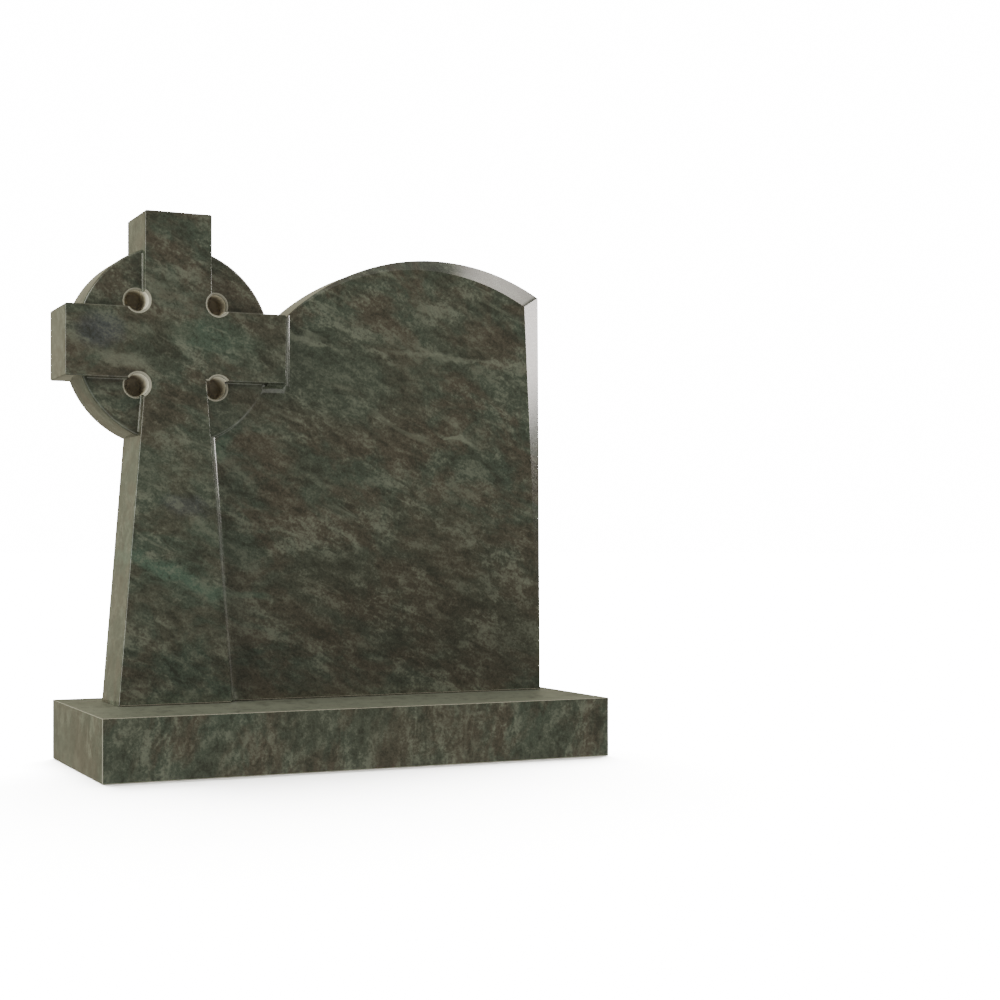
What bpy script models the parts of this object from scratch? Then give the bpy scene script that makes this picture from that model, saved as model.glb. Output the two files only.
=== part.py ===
"""Celtic cross headstone: a ringed cross and an arched tablet carved from one slab, on a base slab.

Metres, +Z up. The origin is the middle of the base's underside. +X runs to the right along the front,
and the front faces -Y. The slab is drawn in its own frame: across from the cross's upright axis, inward
from the face of the cross, and up from the slab's foot.
"""
import math

import bmesh
import bpy

# Headstone slab, and the cross that stands at its full thickness
THICKNESS = 0.127
CROSS_HEIGHT = 0.623
ARM_WIDTH = 0.122
ARM_REACH = 0.195
UPRIGHT_WIDTH = 0.118
UPRIGHT_REACH = 0.228

# Shaft under the arms, a little wider to the left of the cross's axis than to the right
SHAFT_TOP_LEFT = 0.059
SHAFT_TOP_RIGHT = 0.0495
SHAFT_FOOT_LEFT = 0.105
SHAFT_FOOT_RIGHT = 0.095

# Ring between the arms, set back from the face of the cross
RING_RADIUS = 0.173
RING_RECESS = 0.019
RING_FILLET = 0.003
RING_ARRIS = 0.004

# Tablet beside the cross, set back further, with an arc for its head
TABLET_RECESS = 0.026
TABLET_EDGE = 0.712
TABLET_CROWN_HEIGHT = 0.805
TABLET_CORNER_DROP = 0.056
TABLET_HEAD_RADIUS = 0.427

# Bevel that widens along the head away from the cross, turns the corner and dies out down the edge
HEAD_BEVEL_WIDTH = 0.035
EDGE_BEVEL_WIDTH = 0.034
BEVEL_DEPTH = 0.011
EDGE_BEVEL_RUNOUT = 0.050

# Coves that carry the cross and the ring down to the tablet's face
CROSS_COVE_WIDTH = 0.020
CROSS_COVE_DEPTH = 0.020
RING_COVE_WIDTH = 0.016

# Round hollows sunk in the four armpits
HOLLOW_RADIUS = 0.019
HOLLOW_OUTSET = 0.0115
HOLLOW_WALL = 0.060
HOLLOW_DOME = 0.010
HOLLOW_RIM = 0.004

# Base slab, and the ledges that it leaves round the headstone's foot
BASE_HEIGHT = 0.105
LEDGE_LEFT = 0.071
LEDGE_RIGHT = 0.029
LEDGE_FRONT = 0.191
LEDGE_BACK = 0.072

# Eased edges of the headstone and of the base, and the open joint between them
ARRIS = 0.0022
BASE_ARRIS = 0.001
JOINT = 0.0003

# Fineness of the round forms
RING_STEPS = 96
HEAD_STEPS = 56
COVE_STEPS = 6
HOLLOW_STEPS = 32
DOME_STEPS = 6

# The least turn between two faces that leaves a sharp edge, and the length under which an edge closes up
SHARP_ANGLE = math.radians(30)
HAIRLINE = 0.00001

# How far a hidden face runs past the face that hides it, and how deep a cove's foot is let in
OVERLAP = 0.006
LET_IN = 0.004

BASE_WIDTH = LEDGE_LEFT + SHAFT_FOOT_LEFT + TABLET_EDGE + LEDGE_RIGHT
BASE_DEPTH = LEDGE_FRONT + THICKNESS + LEDGE_BACK
CROSS_X = LEDGE_LEFT + SHAFT_FOOT_LEFT - BASE_WIDTH / 2
CROSS_FACE_Y = LEDGE_FRONT - BASE_DEPTH / 2
FOOT_Z = BASE_HEIGHT + JOINT

HEADSTONE_COLOUR = (0.075, 0.085, 0.062, 1.0)
BASE_COLOUR = (0.070, 0.080, 0.060, 1.0)
POLISHED = 0.15


def clear_scene():
    """Remove every object of the scene."""
    for item in list(bpy.data.objects):
        bpy.data.objects.remove(item, do_unlink=True)


def make_collection(name):
    """Make a collection in the scene."""
    collection = bpy.data.collections.new(name)
    bpy.context.scene.collection.children.link(collection)
    return collection


def stone_material(name, colour):
    """Make a polished stone material."""
    material = bpy.data.materials.new(name)
    material.use_nodes = True
    shader = material.node_tree.nodes["Principled BSDF"]
    shader.inputs["Base Color"].default_value = colour
    shader.inputs["Roughness"].default_value = POLISHED
    shader.inputs["Metallic"].default_value = 0.0
    return material


def new_object(name, mesh_data, collection):
    """Wrap a mesh in an object."""
    item = bpy.data.objects.new(name, mesh_data)
    collection.objects.link(item)
    return item


def place(across, inward, up):
    """Turn a point of the slab's frame into the part's frame."""
    return (CROSS_X + across, CROSS_FACE_Y + inward, FOOT_Z + up)


def offset(outline, distance):
    """Move each corner of an anticlockwise outline out along its mitre, or in for a negative distance."""
    moved = []
    for index, (across, up) in enumerate(outline):
        before = outline[index - 1]
        after = outline[(index + 1) % len(outline)]
        first_length = math.hypot(across - before[0], up - before[1])
        second_length = math.hypot(after[0] - across, after[1] - up)
        mitre_across = (up - before[1]) / first_length + (after[1] - up) / second_length
        mitre_up = (before[0] - across) / first_length + (across - after[0]) / second_length
        scale = 2 * distance / (mitre_across ** 2 + mitre_up ** 2)
        moved.append((across + mitre_across * scale, up + mitre_up * scale))
    return moved


def cut_corners(outline):
    """Cut a small facet across each outward corner above the foot of an anticlockwise outline."""
    eased = []
    for index, (across, up) in enumerate(outline):
        before = outline[index - 1]
        after = outline[(index + 1) % len(outline)]
        turn = (across - before[0]) * (after[1] - up) - (up - before[1]) * (after[0] - across)
        if turn < 0 or up == 0:
            eased.append((across, up))
            continue
        for near in (before, after):
            share = ARRIS / math.hypot(near[0] - across, near[1] - up)
            eased.append((across + (near[0] - across) * share, up + (near[1] - up) * share))
    return eased


def level(outline, inward):
    """Set an outline at one depth."""
    return [(across, inward, up) for across, up in outline]


def loft(name, sections, collection):
    """Skin closed sections that have as many points as each other, and cap both ends."""
    shape = bmesh.new()
    loops = [[shape.verts.new(place(*point)) for point in section] for section in sections]
    count = len(loops[0])
    for loop, following in zip(loops, loops[1:]):
        for index in range(count):
            beside = (index + 1) % count
            shape.faces.new((loop[index], loop[beside], following[beside], following[index]))
    shape.faces.new(loops[0])
    shape.faces.new(loops[-1])
    bmesh.ops.recalc_face_normals(shape, faces=shape.faces)
    mesh_data = bpy.data.meshes.new(name)
    shape.to_mesh(mesh_data)
    shape.free()
    return new_object(name, mesh_data, collection)


def prism(name, outline, front, back, collection):
    """Extrude an outline from one depth to another."""
    shape = bmesh.new()
    face = shape.faces.new([shape.verts.new(place(across, front, up)) for across, up in outline])
    swept = bmesh.ops.extrude_face_region(shape, geom=[face])
    far_corners = [item for item in swept["geom"] if isinstance(item, bmesh.types.BMVert)]
    bmesh.ops.translate(shape, verts=far_corners, vec=(0, back - front, 0))
    bmesh.ops.recalc_face_normals(shape, faces=shape.faces)
    mesh_data = bpy.data.meshes.new(name)
    shape.to_mesh(mesh_data)
    shape.free()
    return new_object(name, mesh_data, collection)


def slab(name, outline, front, back, front_arris, collection):
    """Make a slab of an outline between two depths, with eased front and back edges."""
    sections = [
        level(offset(outline, -front_arris), front),
        level(outline, front + front_arris),
        level(outline, back - ARRIS),
        level(offset(outline, -ARRIS), back),
    ]
    return loft(name, sections, collection)


def skirt(name, outline, start, floor, width, collection):
    """Make the cove that sweeps in a quarter ellipse from an outline at one depth out to a floor."""
    sections = [level(offset(outline, -ARRIS), start)]
    for step in range(COVE_STEPS + 1):
        angle = math.radians(90) * step / COVE_STEPS
        reach = width * (1 - math.cos(angle))
        sections.append(level(offset(outline, reach), start + (floor - start) * math.sin(angle)))
    sections.append(level(offset(outline, width), floor + LET_IN))
    return loft(name, sections, collection)


def turned(name, profile, across, up, collection):
    """Turn a profile of (radius, inward) pairs, front to back, about an axis that runs into the slab."""
    shape = bmesh.new()
    chain = [shape.verts.new((radius, 0, -inward)) for radius, inward in profile]
    for first, second in zip(chain, chain[1:]):
        shape.edges.new((first, second))
    mesh_data = bpy.data.meshes.new(name)
    shape.to_mesh(mesh_data)
    shape.free()
    item = new_object(name, mesh_data, collection)
    item.location = place(across, 0, up)
    item.rotation_euler = (math.radians(90), 0, 0)
    turn = item.modifiers.new("turn", "SCREW")
    turn.steps = HOLLOW_STEPS
    turn.render_steps = HOLLOW_STEPS
    turn.use_merge_vertices = True
    turn.merge_threshold = 0.00001
    return item


def combine(target, operand, operation):
    """Add a Boolean to an object, and hide its operand."""
    change = target.modifiers.new(operand.name, "BOOLEAN")
    change.operation = operation
    change.solver = "EXACT"
    change.object = operand
    operand.hide_render = True
    operand.display_type = "WIRE"


def settle(item):
    """Make an object's modifiers its own mesh, with no hairline edges and with smooth round forms."""
    finished = item.evaluated_get(bpy.context.evaluated_depsgraph_get())
    item.data = bpy.data.meshes.new_from_object(finished)
    item.modifiers.clear()
    shape = bmesh.new()
    shape.from_mesh(item.data)
    bmesh.ops.remove_doubles(shape, verts=shape.verts, dist=HAIRLINE)
    shape.to_mesh(item.data)
    shape.free()
    item.data.shade_smooth()
    item.data.set_sharp_from_angle(angle=SHARP_ANGLE)


def cross_outline():
    """Give the cross and its tapering shaft, anticlockwise from the right corner of the foot."""
    arm = ARM_WIDTH / 2
    upright = UPRIGHT_WIDTH / 2
    head = [
        (ARM_REACH, CROSS_HEIGHT - arm),
        (ARM_REACH, CROSS_HEIGHT + arm),
        (upright, CROSS_HEIGHT + arm),
        (upright, CROSS_HEIGHT + UPRIGHT_REACH),
    ]
    right = [(SHAFT_FOOT_RIGHT, 0), (SHAFT_TOP_RIGHT, CROSS_HEIGHT - arm)]
    left = [(-SHAFT_TOP_LEFT, CROSS_HEIGHT - arm), (-SHAFT_FOOT_LEFT, 0)]
    return cut_corners(right + head + [(-across, up) for across, up in reversed(head)] + left)


def ring_outline(radius):
    """Give a circle on the cross's centre, anticlockwise."""
    corners = []
    for step in range(RING_STEPS):
        angle = 2 * math.pi * (step + 0.5) / RING_STEPS
        corners.append((radius * math.cos(angle), CROSS_HEIGHT + radius * math.sin(angle)))
    return corners


def tablet_profile():
    """Give the tablet's outline, the outline of its face, and the depth of the lip between them.

    The head is an arc through the crown and the outer corner. Its bevel's width grows with the distance
    from the arm, so the face ends at a corner of its own, where the bevels of head and edge meet.
    """
    centre_up = TABLET_CROWN_HEIGHT - TABLET_HEAD_RADIUS
    corner_sine = math.sqrt(1 - (1 - TABLET_CORNER_DROP / TABLET_HEAD_RADIUS) ** 2)
    centre_across = TABLET_EDGE - TABLET_HEAD_RADIUS * corner_sine
    start_sine = (ARM_REACH - OVERLAP - centre_across) / TABLET_HEAD_RADIUS
    widening = HEAD_BEVEL_WIDTH / (corner_sine - start_sine)
    reach = TABLET_HEAD_RADIUS + widening * start_sine
    face_across = TABLET_EDGE - EDGE_BEVEL_WIDTH - centre_across
    face_sine = (reach - math.sqrt(reach ** 2 - 4 * widening * face_across)) / (2 * widening)

    outline = [(0.0, 0.0), (TABLET_EDGE, 0.0), (TABLET_EDGE, EDGE_BEVEL_RUNOUT)]
    face = [(0.0, ARRIS), (TABLET_EDGE - ARRIS, ARRIS), (TABLET_EDGE - ARRIS, EDGE_BEVEL_RUNOUT)]
    lips = [ARRIS, ARRIS, ARRIS]
    corner_angle = math.asin(corner_sine)
    face_angle = math.asin(face_sine)
    start_angle = math.asin(start_sine)
    for step in range(HEAD_STEPS + 1):
        share = step / HEAD_STEPS
        angle = corner_angle + (start_angle - corner_angle) * share
        outline.append(
            (
                centre_across + TABLET_HEAD_RADIUS * math.sin(angle),
                centre_up + TABLET_HEAD_RADIUS * math.cos(angle),
            )
        )
        lips.append(max(ARRIS, BEVEL_DEPTH * (math.sin(angle) - start_sine) / (corner_sine - start_sine)))
        angle = face_angle + (start_angle - face_angle) * share
        radius = TABLET_HEAD_RADIUS - max(ARRIS, widening * (math.sin(angle) - start_sine))
        face.append((centre_across + radius * math.sin(angle), centre_up + radius * math.cos(angle)))
    outline.append((0.0, CROSS_HEIGHT))
    face.append((0.0, CROSS_HEIGHT - ARRIS))
    lips.append(ARRIS)
    return outline, face, lips


def tablet_slab(outline, face, lips, collection):
    """Make the tablet between its bevelled face and the slab's back."""
    lip = [(across, TABLET_RECESS + depth, up) for (across, up), depth in zip(outline, lips)]
    sections = [
        level(face, TABLET_RECESS),
        lip,
        level(outline, THICKNESS - ARRIS),
        level(offset(outline, -ARRIS), THICKNESS),
    ]
    return loft("tablet_slab", sections, collection)


def hollow_profile():
    """Give the section of a hollow: a splayed rim, a straight wall and a domed bottom."""
    profile = [
        (0.0, -OVERLAP),
        (HOLLOW_RADIUS + HOLLOW_RIM + OVERLAP, -OVERLAP),
        (HOLLOW_RADIUS, HOLLOW_RIM),
    ]
    for step in range(DOME_STEPS):
        angle = math.radians(90) * step / DOME_STEPS
        profile.append((HOLLOW_RADIUS * math.cos(angle), HOLLOW_WALL + HOLLOW_DOME * math.sin(angle)))
    profile.append((0.0, HOLLOW_WALL + HOLLOW_DOME))
    return profile


def ring_splay_profile():
    """Give the section of the splayed rim where a hollow opens through the ring's face."""
    return [
        (0.0, RING_RECESS - OVERLAP),
        (HOLLOW_RADIUS + HOLLOW_RIM + OVERLAP, RING_RECESS - OVERLAP),
        (HOLLOW_RADIUS, RING_RECESS + HOLLOW_RIM),
        (0.0, RING_RECESS + HOLLOW_RIM),
    ]


def build_headstone(parts, helpers):
    """Carve the headstone: cross, ring and tablet in one solid, with coves and the hollows sunk."""
    outline, face, lips = tablet_profile()
    headstone = slab("headstone", cross_outline(), 0.0, THICKNESS, ARRIS, parts)
    rim = ring_outline(RING_RADIUS)
    ring = slab("ring_wheel", rim, RING_RECESS, THICKNESS, RING_ARRIS, helpers)
    tablet = tablet_slab(outline, face, lips, helpers)
    middle_depth = THICKNESS / 2
    ring_face = ring_outline(RING_RADIUS - RING_ARRIS - ARRIS)
    ring_face_zone = prism("ring_face_zone", ring_face, -OVERLAP, middle_depth, helpers)
    clearance = ring_outline(RING_RADIUS + ARRIS)
    ring_front_zone = prism("ring_front_zone", clearance, -OVERLAP, RING_RECESS + ARRIS / 2, helpers)
    tablet_zone = prism("tablet_zone", offset(outline, -ARRIS / 2), -OVERLAP, middle_depth, helpers)

    fillet_start = RING_RECESS - RING_FILLET
    fillet = skirt("ring_fillet", cross_outline(), fillet_start, RING_RECESS, RING_FILLET, helpers)
    combine(fillet, ring_face_zone, "INTERSECT")
    cross_cove = skirt(
        "cross_cove",
        cross_outline(),
        TABLET_RECESS - CROSS_COVE_DEPTH,
        TABLET_RECESS,
        CROSS_COVE_WIDTH,
        helpers,
    )
    combine(cross_cove, tablet_zone, "INTERSECT")
    combine(cross_cove, ring_front_zone, "DIFFERENCE")
    cove_start = RING_RECESS + RING_ARRIS + ARRIS / 2
    ring_cove = skirt("ring_cove", rim, cove_start, TABLET_RECESS, RING_COVE_WIDTH, helpers)
    combine(ring_cove, tablet_zone, "INTERSECT")

    hollows = []
    side = UPRIGHT_WIDTH / 2 + HOLLOW_OUTSET
    low = CROSS_HEIGHT - ARM_WIDTH / 2 - HOLLOW_OUTSET
    high = CROSS_HEIGHT + ARM_WIDTH / 2 + HOLLOW_OUTSET
    for number, (across, up) in enumerate(((-side, high), (side, high), (side, low), (-side, low))):
        splay = turned(f"ring_splay_{number}", ring_splay_profile(), across, up, helpers)
        combine(ring, splay, "DIFFERENCE")
        hollows.append(turned(f"hollow_{number}", hollow_profile(), across, up, helpers))

    for operand in (ring, fillet, tablet, cross_cove, ring_cove):
        combine(headstone, operand, "UNION")
    for hollow in hollows:
        combine(headstone, hollow, "DIFFERENCE")
    settle(headstone)
    headstone.data.materials.append(stone_material("polished_headstone", HEADSTONE_COLOUR))


def build_base(parts):
    """Make the base slab with eased edges."""
    shape = bmesh.new()
    bmesh.ops.create_cube(shape, size=1.0)
    bmesh.ops.scale(shape, vec=(BASE_WIDTH, BASE_DEPTH, BASE_HEIGHT), verts=shape.verts)
    mesh_data = bpy.data.meshes.new("base")
    shape.to_mesh(mesh_data)
    shape.free()
    base = new_object("base", mesh_data, parts)
    base.location = (0, 0, BASE_HEIGHT / 2)
    edges = base.modifiers.new("arris", "BEVEL")
    edges.width = BASE_ARRIS
    edges.segments = 1
    base.data.materials.append(stone_material("polished_base", BASE_COLOUR))


def main():
    clear_scene()
    parts = make_collection("celtic_cross_headstone")
    helpers = make_collection("cutters")
    build_headstone(parts, helpers)
    build_base(parts)


main()
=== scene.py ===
"""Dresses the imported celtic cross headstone: green granite, a pale studio and the photograph's view."""
import math

import bmesh
import bpy
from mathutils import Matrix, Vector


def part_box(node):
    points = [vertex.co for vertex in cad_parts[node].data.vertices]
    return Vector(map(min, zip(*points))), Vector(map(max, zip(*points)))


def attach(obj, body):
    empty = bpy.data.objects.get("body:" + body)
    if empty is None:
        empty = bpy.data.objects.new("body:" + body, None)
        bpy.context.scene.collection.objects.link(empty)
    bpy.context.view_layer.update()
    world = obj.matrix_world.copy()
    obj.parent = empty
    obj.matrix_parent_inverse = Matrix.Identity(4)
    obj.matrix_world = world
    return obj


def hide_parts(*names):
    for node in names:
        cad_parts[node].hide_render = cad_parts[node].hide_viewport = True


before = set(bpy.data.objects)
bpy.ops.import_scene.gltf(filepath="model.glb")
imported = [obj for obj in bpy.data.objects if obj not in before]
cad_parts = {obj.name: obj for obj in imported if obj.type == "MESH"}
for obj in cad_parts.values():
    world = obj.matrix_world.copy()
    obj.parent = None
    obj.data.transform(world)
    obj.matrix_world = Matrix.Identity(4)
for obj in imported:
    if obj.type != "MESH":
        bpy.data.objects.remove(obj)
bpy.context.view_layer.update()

base_low, base_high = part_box("base")
stone_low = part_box("headstone")[0]

# The camera stood level, to the left of the stone, and was turned to the right
CAMERA_PLACE = (-1.0975, base_low.y - 2.8121, 0.3798)
CAMERA_TURN = math.radians(25.45)
FOCAL_PIXELS = 1772.2
IMAGE_PIXELS = 1000
HORIZON_ROW = 545.7
SENSOR = 36.0

# Points nearer than this are welded, and the triangles of one flat face are joined
WELD = 0.00002
FLAT_ANGLE = math.radians(0.2)

# Small rounds turn through less than this, and the lips of bevels stay crisp between their own limits
ROUND_ANGLE = math.radians(50)
CREASE_ANGLE = math.radians(5)
LIP_ANGLE = math.radians(25)
BEVEL_ANGLE = math.radians(40)

# A face looks forward if its normal's y is below the first, and upward if its z is above the second
FORWARD = -0.999
UPWARD = 0.9

# An arris is narrow, and its long edges are more than this share of its outline
ARRIS_WIDTH = 0.0036
LONG_EDGE_SHARE = 0.2

# The hollows are drilled and their rims rubbed, like the arrises round the base and the headstone's foot
RUBBED_TOP = base_high.z + 0.010
CROSS_X = stone_low.x + 0.195
HOLLOW_MIDDLE_Z = base_high.z + 0.6233
HOLLOW_ACROSS = 0.0705
HOLLOW_UP = 0.0725
HOLLOW_RIM_REACH = 0.0233
HOLLOW_WALL_REACH = 0.0194
# The drilled walls carry painted shade, darkening from the mouth of each hollow to the second depth
MOUTH_Y = stone_low.y + 0.012
SHADE_FULL_Y = MOUTH_Y + 0.050

# Places of the finishes in each piece's list of materials; the third is the hollows' or the ledge's
POLISHED = 0
RUBBED = 1
OWN = 2

# Colours of the stone
BROWN = (0.050, 0.044, 0.031)
UMBER = (0.034, 0.031, 0.021)
GREEN = (0.039, 0.050, 0.036)
TEAL = (0.050, 0.082, 0.058)
OLIVE = (0.046, 0.047, 0.033)
DARK = (0.017, 0.018, 0.012)
PALE = (0.140, 0.152, 0.114)
SLATE = (0.042, 0.047, 0.050)
RUBBED_STONE = (0.230, 0.225, 0.180)
# The drilled walls' own pale matt colour, made far paler than the rubbed arrises as painted light on the
# lit walls
DRILLED_PALE_WITH_PAINTED_LIGHT = (0.700, 0.680, 0.560)
# Painted shade deep in the drilled hollows, which is also the colour of the pits in their walls
HOLLOW_SHADE_AND_PITS = (0.300, 0.265, 0.205)

# Least and greatest roughness of the polished faces and of the ledge, then the matt finish
POLISH = (0.07, 0.15)
LEDGE_ROUGHNESS = (0.44, 0.52)
MATT_ROUGHNESS = 0.55
MATT_BUMP_STRENGTH = 0.25
MATT_BUMP_HEIGHT = 0.0003

# Streaks slope down to the right on the headstone and stand steeply on the base
HEADSTONE_STREAKS = math.radians(-24)
HEADSTONE_STREAK_LENGTH = 1.7
HEADSTONE_SHIFT = (0.0, 0.0, 0.0)
BASE_STREAKS = math.radians(78)
BASE_STREAK_LENGTH = 1.35
BASE_SHIFT = (5.0, 2.0, 1.0)

# How patterns are squeezed along, through and across the streaks, before a streak length draws them out
BROAD_SQUEEZE = (0.7, 1.0, 1.2)
ALONG_SQUEEZE = (1.0, 1.0, 1.2)
WISPY_SQUEEZE = (0.5, 1.0, 1.4)

# Kinds of noise: scale, detail, roughness, distortion
ZONE_NOISE = (12.0, 5.0, 0.65, 0.4)
CALM_NOISE = (6.0, 3.0, 0.50, 0.0)
GATE_NOISE = (10.0, 3.0, 0.50, 0.0)
CLOUD_NOISE = (22.0, 3.0, 0.55, 0.8)
MOTTLE_NOISE = (68.0, 3.0, 0.60, 0.6)
FLECK_NOISE = (190.0, 3.0, 0.65, 0.4)
WISP_NOISE = (34.0, 4.0, 0.60, 0.8)
GRAIN_NOISE = (420.0, 2.0, 0.60, 0.0)
RIPPLE_NOISE = (26.0, 2.0, 0.60, 0.0)
MATT_NOISE = (260.0, 4.0, 0.65, 0.0)

# Values of the noise at which each tint starts to show and shows in full, and its strength
GREEN_RANGE = (0.40, 0.60)
CALM_RANGE = (0.40, 0.65)
CALM_STRENGTH = 0.50
DARK_RANGE = (0.50, 0.38)
DARK_STRENGTH = 0.70
GATE_RANGE = (0.36, 0.62)
PALE_RANGE = (0.48, 0.62)
PALE_LEAST = 0.34
PALE_GATED = 0.28
WISP_RANGE = (0.56, 0.74)
WISP_STRENGTH = 0.45
SPARK_RANGE = (0.50, 0.75)
SPARK_STRENGTH = 0.10
SPECK_RANGE = (0.50, 0.28)
SPECK_STRENGTH = 0.20
PIT_RANGE = (0.52, 0.30)
PIT_STRENGTH = 0.45

# Shares of the three sizes of mottle in the uneven ground
CLOUD_SHARE = 0.36
MOTTLE_SHARE = 0.34
FLECK_SHARE = 0.30

# Patches run right through the stone, with soft wavy edges
PATCH_DEPTH = 1000.0
PATCH_EDGE = (1.3, 0.4)
RIPPLE_REACH = 0.020

# Patches and veins on the headstone: middle (across, up), half sizes, slope in degrees, colour, strength
HEADSTONE_PATCHES = [
    ((0.220, 0.270), (0.320, 0.170), -10.0, UMBER, 0.50),
    ((0.000, 0.680), (0.170, 0.100), -15.0, GREEN, 0.50),
    ((-0.270, 0.300), (0.120, 0.330), 4.0, TEAL, 0.16),
    ((-0.235, 0.742), (0.100, 0.030), -8.0, TEAL, 0.45),
    ((-0.420, 0.745), (0.040, 0.032), 0.0, SLATE, 0.80),
    ((-0.380, 0.697), (0.055, 0.014), -8.0, PALE, 0.42),
    ((-0.198, 0.548), (0.018, 0.024), -20.0, TEAL, 0.65),
    ((-0.270, 0.450), (0.046, 0.022), -10.0, SLATE, 0.55),
    ((-0.300, 0.810), (0.050, 0.020), -25.0, PALE, 0.25),
    ((-0.285, 0.328), (0.115, 0.017), -24.0, TEAL, 0.85),
    ((-0.150, 0.292), (0.055, 0.010), -6.0, TEAL, 0.50),
    ((-0.030, 0.750), (0.060, 0.006), -20.0, PALE, 0.50),
    ((0.095, 0.730), (0.045, 0.005), -20.0, PALE, 0.50),
    ((0.260, 0.728), (0.150, 0.006), -3.0, PALE, 0.45),
    ((0.255, 0.576), (0.046, 0.005), -14.0, PALE, 0.60),
]

# The ledge on top of the base is matt and paler than its sides: one pale patch covers it
LEDGE_PATCHES = [
    ((0.000, 0.000), (4.000, 4.000), 0.0, PALE, 0.75),
]

# The floor lies just under the base, and its sun lights nothing else
FLOOR_RADIUS = 90.0
FLOOR_SIDES = 96
FLOOR_DROP = 0.0005
FLOOR_PAINT = (0.86, 0.86, 0.85, 1.0)
SUN_STRENGTH = 72.0
SUN_WIDTH = math.radians(50)
SUN_PLACE = (0.0, 0.0, 4.0)
SUN_TURN = (math.radians(-35), 0.0, math.radians(-20))

# The studio's glow level with the front, steeply above it, from the pale floor, and behind the stone
LEVEL_GLOW = (0.26, 0.26, 0.24)
STEEP_GLOW = (0.95, 0.94, 0.88)
FLOOR_GLOW = (1.70, 1.68, 1.58)
BACK_GLOW = (0.50, 0.475, 0.34)
BACK_FOOT_GLOW = (0.34, 0.32, 0.23)

# Angles in degrees at which the second of two glows starts and has taken over
STEEP_EDGE = (14, 26)
FLOOR_EDGE = (-14, -26)
BACK_EDGE = (95, 130)
BACK_FOOT_EDGE = (1, -6)

# Soft boxes: two edges in azimuth and two in elevation, from nothing to full in degrees, then the glow
SOFT_BOXES = [
    (((36, 41), (60, 47)), ((13, 17), (43, 36)), (11.8, 11.0, 10.2)),
    (((54, 57), (68, 64)), ((4.8, 7.2), (12.5, 9.5)), (30.0, 28.2, 27.0)),
    (((74, 77), (88, 85)), ((-4, 6), (10, 7)), (3.0, 2.9, 2.7)),
    (((-114, -106), (-56, -62)), ((-4, 2), (52, 42)), (7.5, 7.4, 6.7)),
]

# What the camera sees past the floor's edge
WHITE_WALL = (16.0, 16.0, 16.0)

# Places of the colour sockets on a mix node
FIRST_COLOUR = 6
SECOND_COLOUR = 7
MIXED_COLOUR = 2


def move_to_scene(item):
    """Put a new object in the scene's own collection."""
    bpy.context.scene.collection.objects.link(item)
    return item


def from_hollow(face):
    """Give the distance of a face's middle from the axis of the nearest of the four hollows."""
    centre = face.calc_center_median()
    across = abs(abs(centre.x - CROSS_X) - HOLLOW_ACROSS)
    up = abs(abs(centre.z - HOLLOW_MIDDLE_Z) - HOLLOW_UP)
    return math.hypot(across, up)


def is_arris(face):
    """Tell whether a face is a narrow strip with outward edges along both sides."""
    outline = face.calc_perimeter()
    width = 2 * face.calc_area() / outline
    if width > ARRIS_WIDTH:
        return False
    long_edges = [edge for edge in face.edges if edge.calc_length() > LONG_EDGE_SHARE * outline]
    return all(edge.is_manifold and edge.calc_face_angle_signed() > CREASE_ANGLE for edge in long_edges)


def finish_of(face, source):
    """Choose the finish of one face of a piece."""
    low = face.calc_center_median().z < RUBBED_TOP
    if from_hollow(face) < HOLLOW_WALL_REACH:
        return OWN
    if from_hollow(face) < HOLLOW_RIM_REACH or (low and is_arris(face)):
        return RUBBED
    if source == "base" and face.normal.z > UPWARD:
        return OWN
    return POLISHED


def stone_piece(name, source, materials):
    """Copy a CAD solid's mesh, weld its triangles, and shade its arrises as small rounds."""
    mesh_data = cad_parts[source].data.copy()
    mesh_data.name = name
    mesh_data.materials.clear()
    for material in materials:
        mesh_data.materials.append(material)
    shape = bmesh.new()
    shape.from_mesh(mesh_data)
    bmesh.ops.remove_doubles(shape, verts=shape.verts, dist=WELD)
    bmesh.ops.dissolve_limit(shape, angle_limit=FLAT_ANGLE, verts=shape.verts, edges=shape.edges)
    for face in shape.faces:
        face.smooth = True
        face.material_index = finish_of(face, source)
    for edge in shape.edges:
        if len(edge.link_faces) != 2:
            continue
        turn = edge.calc_face_angle_signed()
        front = any(face.normal.y < FORWARD for face in edge.link_faces)
        lip = (CREASE_ANGLE if front else LIP_ANGLE) < turn < BEVEL_ANGLE
        edge.smooth = abs(turn) < ROUND_ANGLE and not lip
    shape.to_mesh(mesh_data)
    shape.free()
    piece = move_to_scene(bpy.data.objects.new(name, mesh_data))
    weights = piece.modifiers.new("flat faces", "WEIGHTED_NORMAL")
    weights.keep_sharp = True
    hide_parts(source)
    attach(piece, "root")


def node(tree, kind, **values):
    """Add a shader node and set its properties."""
    made = tree.nodes.new(kind)
    for name, value in values.items():
        setattr(made, name, value)
    return made


def noise_node(tree, vector, kind):
    """Add a noise texture of one of the kinds listed above."""
    made = node(tree, "ShaderNodeTexNoise")
    for name, value in zip(("Scale", "Detail", "Roughness", "Distortion"), kind):
        made.inputs[name].default_value = value
    tree.links.new(vector, made.inputs["Vector"])
    return made


def noise(tree, vector, kind):
    """Add a noise texture and give its value socket."""
    return noise_node(tree, vector, kind).outputs["Fac"]


def turned(tree, vector, angle, shift, squeeze, length=1.0):
    """Turn coordinates about the front's normal, and squeeze them along, through and across the streaks."""
    turn = node(tree, "ShaderNodeMapping")
    turn.inputs["Location"].default_value = shift
    turn.inputs["Rotation"].default_value = (0.0, angle, 0.0)
    tree.links.new(vector, turn.inputs["Vector"])
    pull = node(tree, "ShaderNodeMapping")
    pull.inputs["Scale"].default_value = (squeeze[0] / length, squeeze[1], squeeze[2])
    tree.links.new(turn.outputs["Vector"], pull.inputs["Vector"])
    return pull.outputs["Vector"]


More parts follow.
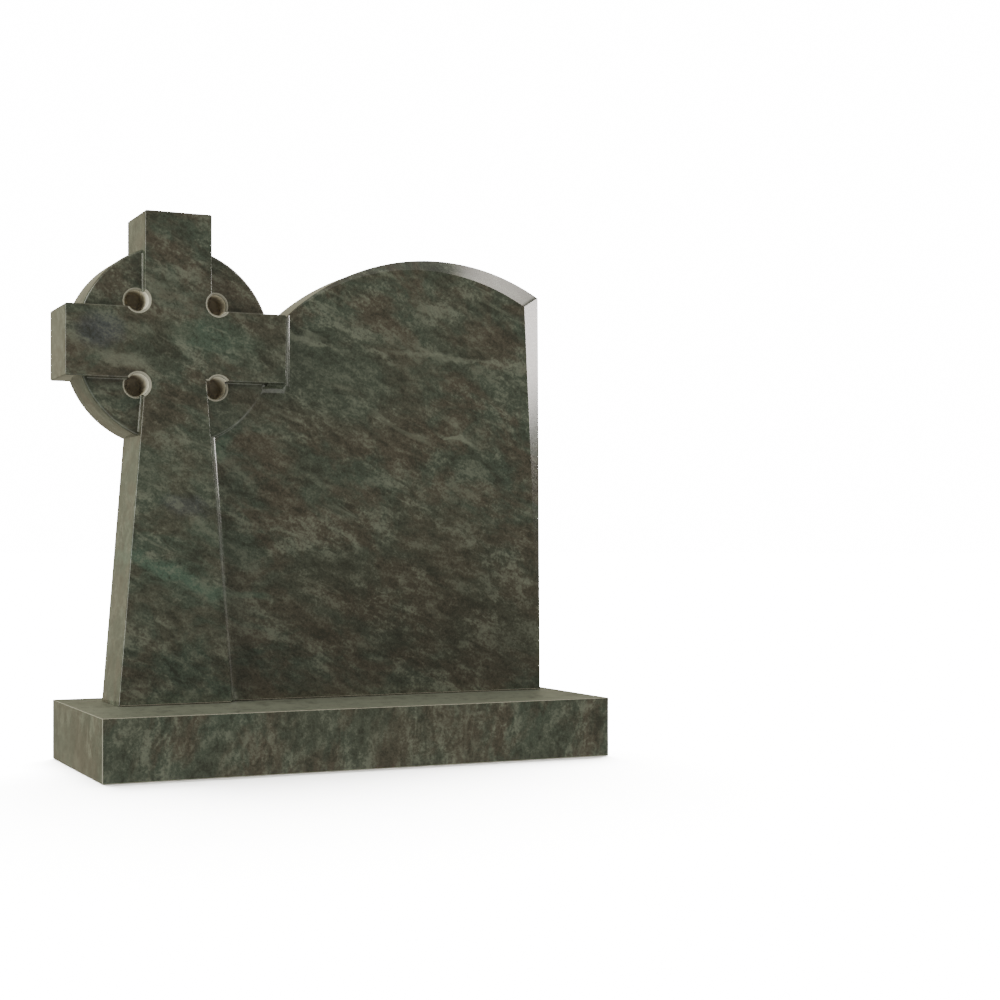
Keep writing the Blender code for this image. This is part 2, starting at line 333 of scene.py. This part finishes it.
def window(tree, value, edge):
    """Map a value so that the edge's first number gives 0 and its second gives 1, smoothly."""
    made = node(tree, "ShaderNodeMapRange", interpolation_type="SMOOTHSTEP")
    made.inputs["From Min"].default_value = edge[0]
    made.inputs["From Max"].default_value = edge[1]
    tree.links.new(value, made.inputs["Value"])
    return made.outputs["Result"]


def angle_window(tree, angle, edge):
    """Map an angle in the same way, with the edge's numbers in degrees."""
    return window(tree, angle, (math.radians(edge[0]), math.radians(edge[1])))


def maths(tree, operation, first, second=0.0):
    """Work out one sum of sockets or numbers."""
    made = node(tree, "ShaderNodeMath", operation=operation)
    for socket, value in zip(made.inputs, (first, second)):
        if isinstance(value, float):
            socket.default_value = value
        else:
            tree.links.new(value, socket)
    return made.outputs["Value"]


def scaled(tree, share, strength):
    """Scale a share."""
    return maths(tree, "MULTIPLY", share, strength)


def blend(tree, share, first, second):
    """Mix two colours, each a socket or three numbers, by a share."""
    made = node(tree, "ShaderNodeMix", data_type="RGBA")
    tree.links.new(share, made.inputs["Factor"])
    for place, colour in ((FIRST_COLOUR, first), (SECOND_COLOUR, second)):
        if isinstance(colour, tuple):
            made.inputs[place].default_value = (*colour, 1.0)
        else:
            tree.links.new(colour, made.inputs[place])
    return made.outputs[MIXED_COLOUR]


def rippled(tree, place):
    """Push coordinates about by noise, so that what is drawn in them gets wavy edges."""
    wave = noise_node(tree, place, RIPPLE_NOISE)
    push = node(tree, "ShaderNodeVectorMath", operation="MULTIPLY_ADD")
    push.inputs[1].default_value = (2 * RIPPLE_REACH, 2 * RIPPLE_REACH, 2 * RIPPLE_REACH)
    tree.links.new(wave.outputs["Color"], push.inputs[0])
    tree.links.new(place, push.inputs[2])
    back = node(tree, "ShaderNodeVectorMath", operation="SUBTRACT")
    back.inputs[1].default_value = (RIPPLE_REACH, RIPPLE_REACH, RIPPLE_REACH)
    tree.links.new(push.outputs["Vector"], back.inputs[0])
    return back.outputs["Vector"]


def patch(tree, place, centre, size, slope):
    """Give the share of one oval patch or vein on the front: 1 in its middle, 0 outside."""
    turn = node(tree, "ShaderNodeMapping", vector_type="TEXTURE")
    turn.inputs["Location"].default_value = (centre[0], 0.0, centre[1])
    turn.inputs["Rotation"].default_value = (0.0, -math.radians(slope), 0.0)
    turn.inputs["Scale"].default_value = (size[0], PATCH_DEPTH, size[1])
    tree.links.new(place, turn.inputs["Vector"])
    length = node(tree, "ShaderNodeVectorMath", operation="LENGTH")
    tree.links.new(turn.outputs["Vector"], length.inputs[0])
    return window(tree, length.outputs["Value"], PATCH_EDGE)


def new_material(name):
    """Make a material, and give its tree, its shader and the coordinates of the piece."""
    material = bpy.data.materials.new(name)
    material.use_nodes = True
    tree = material.node_tree
    place = node(tree, "ShaderNodeTexCoord").outputs["Object"]
    return material, tree, tree.nodes["Principled BSDF"], place


def granite(name, streaks, length, shift, patches, roughness):
    """Make polished green granite: brown and green ground, mottles of three sizes, wisps and fine grain."""
    material, tree, shader, place = new_material(name)
    broad = turned(tree, place, streaks, shift, BROAD_SQUEEZE)
    along = turned(tree, place, streaks, shift, ALONG_SQUEEZE, length)
    wispy = turned(tree, place, streaks, shift, WISPY_SQUEEZE, length)

    zone = noise(tree, broad, ZONE_NOISE)
    colour = blend(tree, window(tree, zone, GREEN_RANGE), BROWN, GREEN)
    calm = window(tree, noise(tree, broad, CALM_NOISE), CALM_RANGE)
    colour = blend(tree, scaled(tree, calm, CALM_STRENGTH), colour, OLIVE)

    wavy = rippled(tree, place)
    for centre, size, slope, tint, strength in patches:
        share = patch(tree, wavy, centre, size, slope)
        colour = blend(tree, scaled(tree, share, strength), colour, tint)

    cloud = scaled(tree, noise(tree, along, CLOUD_NOISE), CLOUD_SHARE)
    mottle = scaled(tree, noise(tree, along, MOTTLE_NOISE), MOTTLE_SHARE)
    fleck = scaled(tree, noise(tree, place, FLECK_NOISE), FLECK_SHARE)
    uneven = maths(tree, "ADD", maths(tree, "ADD", cloud, mottle), fleck)
    dark = window(tree, uneven, DARK_RANGE)
    colour = blend(tree, scaled(tree, dark, DARK_STRENGTH), colour, DARK)
    gate = window(tree, noise(tree, broad, GATE_NOISE), GATE_RANGE)
    pale = maths(tree, "ADD", scaled(tree, gate, PALE_GATED), PALE_LEAST)
    pale = maths(tree, "MULTIPLY", window(tree, uneven, PALE_RANGE), pale)
    colour = blend(tree, pale, colour, PALE)

    wisp = window(tree, noise(tree, wispy, WISP_NOISE), WISP_RANGE)
    wisp = maths(tree, "MULTIPLY", wisp, gate)
    colour = blend(tree, scaled(tree, wisp, WISP_STRENGTH), colour, PALE)

    grain = noise(tree, place, GRAIN_NOISE)
    spark = window(tree, grain, SPARK_RANGE)
    speck = window(tree, grain, SPECK_RANGE)
    colour = blend(tree, scaled(tree, spark, SPARK_STRENGTH), colour, PALE)
    colour = blend(tree, scaled(tree, speck, SPECK_STRENGTH), colour, DARK)

    tree.links.new(colour, shader.inputs["Base Color"])
    rough = node(tree, "ShaderNodeMapRange")
    rough.inputs["To Min"].default_value = roughness[0]
    rough.inputs["To Max"].default_value = roughness[1]
    tree.links.new(grain, rough.inputs["Value"])
    tree.links.new(rough.outputs["Result"], shader.inputs["Roughness"])
    return material


def matt_granite(name, pale, shade_and_pits):
    """Make the matt finish of rubbed arrises and drilled hollows; in the holes the colour is painted light,
    pale near the mouth, and painted shade deeper in, with dark pits in the grain.
    """
    material, tree, shader, place = new_material(name)
    grain = noise(tree, place, MATT_NOISE)
    split = node(tree, "ShaderNodeSeparateXYZ")
    tree.links.new(place, split.inputs["Vector"])
    # Painted shade: the colour darkens from the mouth toward the depth of a hollow
    colour = blend(tree, window(tree, split.outputs["Y"], (MOUTH_Y, SHADE_FULL_Y)), pale, shade_and_pits)
    pit = window(tree, grain, PIT_RANGE)
    colour = blend(tree, scaled(tree, pit, PIT_STRENGTH), colour, shade_and_pits)
    tree.links.new(colour, shader.inputs["Base Color"])
    shader.inputs["Roughness"].default_value = MATT_ROUGHNESS
    bump = node(tree, "ShaderNodeBump")
    bump.inputs["Strength"].default_value = MATT_BUMP_STRENGTH
    bump.inputs["Distance"].default_value = MATT_BUMP_HEIGHT
    tree.links.new(grain, bump.inputs["Height"])
    tree.links.new(bump.outputs["Normal"], shader.inputs["Normal"])
    return material


def add_floor():
    """Make a wide pale floor under the base, which keeps its own light to itself."""
    shape = bmesh.new()
    bmesh.ops.create_circle(shape, cap_ends=True, radius=FLOOR_RADIUS, segments=FLOOR_SIDES)
    mesh_data = bpy.data.meshes.new("floor")
    shape.to_mesh(mesh_data)
    shape.free()
    floor = move_to_scene(bpy.data.objects.new("floor", mesh_data))
    floor.location = (0.0, 0.0, base_low.z - FLOOR_DROP)
    material = bpy.data.materials.new("floor_paint")
    material.use_nodes = True
    shader = material.node_tree.nodes["Principled BSDF"]
    shader.inputs["Base Color"].default_value = FLOOR_PAINT
    shader.inputs["Roughness"].default_value = 1.0
    shader.inputs["Specular IOR Level"].default_value = 0.0
    mesh_data.materials.append(material)
    floor.visible_diffuse = False
    floor.visible_glossy = False
    floor.visible_shadow = False

    lamp = bpy.data.lights.new("floor_light", "SUN")
    lamp.energy = SUN_STRENGTH
    lamp.angle = SUN_WIDTH
    item = move_to_scene(bpy.data.objects.new("floor_light", lamp))
    item.location = SUN_PLACE
    item.rotation_euler = SUN_TURN
    lit = bpy.data.collections.new("lit_by_floor_light")
    lit.objects.link(floor)
    item.light_linking.receiver_collection = lit


def angles(tree, direction):
    """Give a direction's azimuth (0 in front of the stone, a right angle to its right) and elevation."""
    split = node(tree, "ShaderNodeSeparateXYZ")
    tree.links.new(direction, split.inputs["Vector"])
    forward = maths(tree, "MULTIPLY", split.outputs["Y"], -1.0)
    azimuth = maths(tree, "ARCTAN2", split.outputs["X"], forward)
    elevation = maths(tree, "ARCSINE", split.outputs["Z"])
    return azimuth, elevation


def soft_box(tree, azimuth, elevation, sides, heights):
    """Give the share of a soft-edged box of light."""
    share = 1.0
    for angle, edges in ((azimuth, sides), (elevation, heights)):
        for edge in edges:
            share = maths(tree, "MULTIPLY", angle_window(tree, angle, edge), share)
    return share


def add_world():
    """Light the studio with soft boxes, and set a plain white wall for the camera."""
    world = bpy.data.worlds.new("studio")
    bpy.context.scene.world = world
    world.use_nodes = True
    tree = world.node_tree
    direction = node(tree, "ShaderNodeTexCoord").outputs["Generated"]
    azimuth, elevation = angles(tree, direction)
    steepness = maths(tree, "ABSOLUTE", elevation)
    turn = maths(tree, "ABSOLUTE", azimuth)
    colour = blend(tree, angle_window(tree, steepness, STEEP_EDGE), LEVEL_GLOW, STEEP_GLOW)
    colour = blend(tree, angle_window(tree, elevation, FLOOR_EDGE), colour, FLOOR_GLOW)
    back = blend(tree, angle_window(tree, elevation, BACK_FOOT_EDGE), BACK_GLOW, BACK_FOOT_GLOW)
    colour = blend(tree, angle_window(tree, turn, BACK_EDGE), colour, back)
    for sides, heights, glow in SOFT_BOXES:
        share = soft_box(tree, azimuth, elevation, sides, heights)
        colour = blend(tree, share, colour, glow)
    seen = node(tree, "ShaderNodeLightPath").outputs["Is Camera Ray"]
    colour = blend(tree, seen, colour, WHITE_WALL)
    tree.links.new(colour, tree.nodes["Background"].inputs["Color"])


def add_camera():
    """Set the photograph's camera."""
    data = bpy.data.cameras.new("camera")
    data.sensor_width = SENSOR
    data.lens = FOCAL_PIXELS / IMAGE_PIXELS * SENSOR
    data.shift_y = (HORIZON_ROW - IMAGE_PIXELS / 2) / IMAGE_PIXELS
    camera = move_to_scene(bpy.data.objects.new("camera", data))
    camera.location = CAMERA_PLACE
    camera.rotation_euler = (math.radians(90), 0.0, -CAMERA_TURN)
    bpy.context.scene.camera = camera


rubbed = matt_granite("rubbed_granite", RUBBED_STONE, RUBBED_STONE)
# The drilled walls are painted light near the mouth and painted shade deeper in
drilled = matt_granite("drilled_granite_painted_light_and_shade", DRILLED_PALE_WITH_PAINTED_LIGHT, HOLLOW_SHADE_AND_PITS)
carved = granite(
    "headstone_granite",
    HEADSTONE_STREAKS,
    HEADSTONE_STREAK_LENGTH,
    HEADSTONE_SHIFT,
    HEADSTONE_PATCHES,
    POLISH,
)
sawn = granite("base_granite", BASE_STREAKS, BASE_STREAK_LENGTH, BASE_SHIFT, [], POLISH)
ledge = granite(
    "ledge_granite",
    BASE_STREAKS,
    BASE_STREAK_LENGTH,
    BASE_SHIFT,
    LEDGE_PATCHES,
    LEDGE_ROUGHNESS,
)
stone_piece("carved_headstone", "headstone", [carved, rubbed, drilled])
stone_piece("base_slab", "base", [sawn, rubbed, ledge])

add_floor()
add_world()
add_camera()
